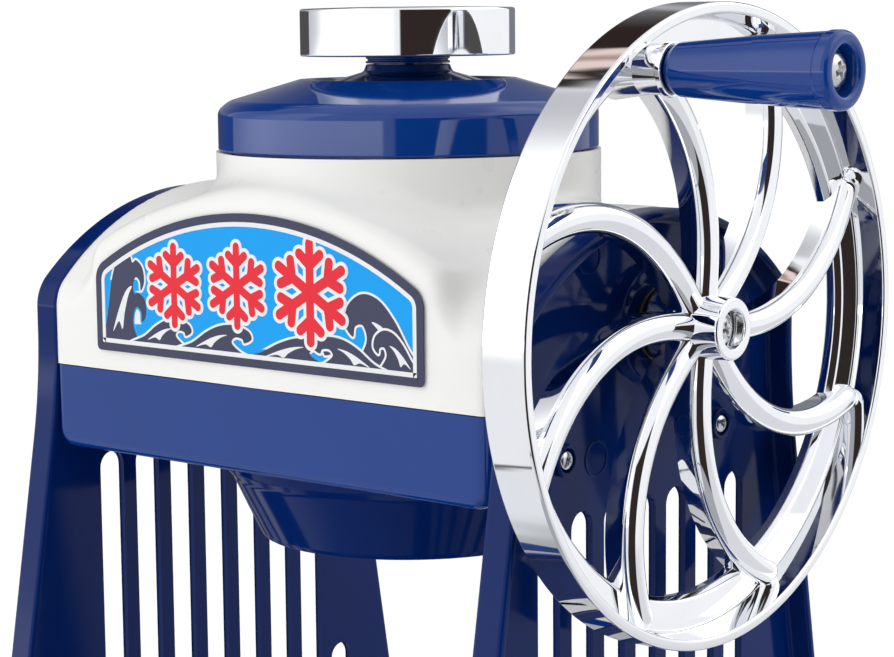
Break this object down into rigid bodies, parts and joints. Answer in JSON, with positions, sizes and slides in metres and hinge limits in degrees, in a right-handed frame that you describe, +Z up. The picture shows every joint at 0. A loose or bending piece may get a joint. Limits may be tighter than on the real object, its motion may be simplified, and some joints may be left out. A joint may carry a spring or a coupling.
{
  "type": "shaved ice machine",
  "caption": "Hand-cranked shaved ice machine: white hopper housing between slotted blue side plates on a base tray, with a spoked chrome hand wheel, turning grip and sprung ice press.",
  "frame": {"origin": "on the table, under the middle of the whole machine with its wheel and grip", "axes": "+Z up, +X towards the hand wheel along the crank shaft, -Y towards the front with the label"},
  "size_m": [0.2852, 0.2232, 0.365],
  "materials": {
    "blue_plastic": "glossy moulded plastic, deep blue",
    "white_plastic": "semi-gloss moulded plastic, white",
    "chrome": "mirror chrome plating",
    "label": "printed film with a satin face",
    "steel": "bright stainless steel",
    "nylon": "natural nylon",
    "clear": "clear moulded plastic",
    "rubber": "matt black rubber"
  },
  "bodies": {
    "frame": {"side_plate_right": "blue_plastic", "side_plate_left": "blue_plastic", "screw_housing_right_front": "steel", "screw_housing_right_rear": "steel", "screw_housing_left_front": "steel", "screw_housing_left_rear": "steel", "screw_base_right_front": "steel", "screw_base_right_rear": "steel", "screw_base_left_front": "steel", "screw_base_left_rear": "steel", "upper_housing": "white_plastic", "lower_housing": "blue_plastic", "label_plate": "label", "blade_plate": "white_plastic", "blade": "steel", "blade_clamp": "steel", "blade_screw_inner": "steel", "blade_screw_outer": "steel", "thrust_ring": "nylon", "shaft_bracket": "nylon", "shaft_bush_outer": "nylon", "shaft_bush_inner": "nylon", "base_tray": "blue_plastic", "foot_front_left": "rubber", "foot_front_right": "rubber", "foot_rear_left": "rubber", "foot_rear_right": "rubber"},
    "crank": {"hand_wheel": "chrome", "hub_screw": "steel", "crank_shaft": "steel", "drive_pinion": "nylon", "shaft_collar": "steel", "grip_bolt": "steel"},
    "grip": {"grip": "blue_plastic"},
    "drum": {"ice_drum": "clear", "ring_gear": "nylon"},
    "lid": {"lid": "blue_plastic", "press_spring": "steel"},
    "press": {"knob": "chrome", "press_rod": "blue_plastic", "press_plate": "white_plastic"},
    "chute": {"ice_chute": "blue_plastic"},
    "drip": {"drip_plate": "white_plastic"}
  },
  "joints": [
    {"name": "crank_spin", "type": "hinge", "parent": "frame", "child": "crank", "pos_m": [-0.0406, 0.001, 0.27], "axis": [1, 0, 0], "continuous": true},
    {"name": "grip_spin", "type": "hinge", "parent": "crank", "child": "grip", "pos_m": [0.0886, -0.03458, 0.34631], "axis": [1, 0, 0], "continuous": true},
    {"name": "drum_spin", "type": "hinge", "parent": "frame", "child": "drum", "pos_m": [-0.0406, 0.001, 0.28], "axis": [0, 0, 1], "continuous": true},
    {"name": "lid_lift", "type": "slide", "parent": "frame", "child": "lid", "axis": [0, 0, 1], "range_m": [0, 0.075]},
    {"name": "press_slide", "type": "slide", "parent": "lid", "child": "press", "axis": [0, 0, 1], "range_m": [0, 0.034], "stiffness_N_per_m": 150, "springref_m": -0.02, "deforming": ["press_spring"]},
    {"name": "chute_twist", "type": "hinge", "parent": "frame", "child": "chute", "pos_m": [-0.0406, 0.001, 0.21], "axis": [0, 0, 1], "range_deg": [0, 25]},
    {"name": "drip_lift", "type": "slide", "parent": "frame", "child": "drip", "axis": [0, 0, 1], "range_m": [0, 0.04]}
  ],
  "couplings": [
    {"joint": "drum_spin", "follows": "crank_spin", "ratio": 0.25}
  ]
}
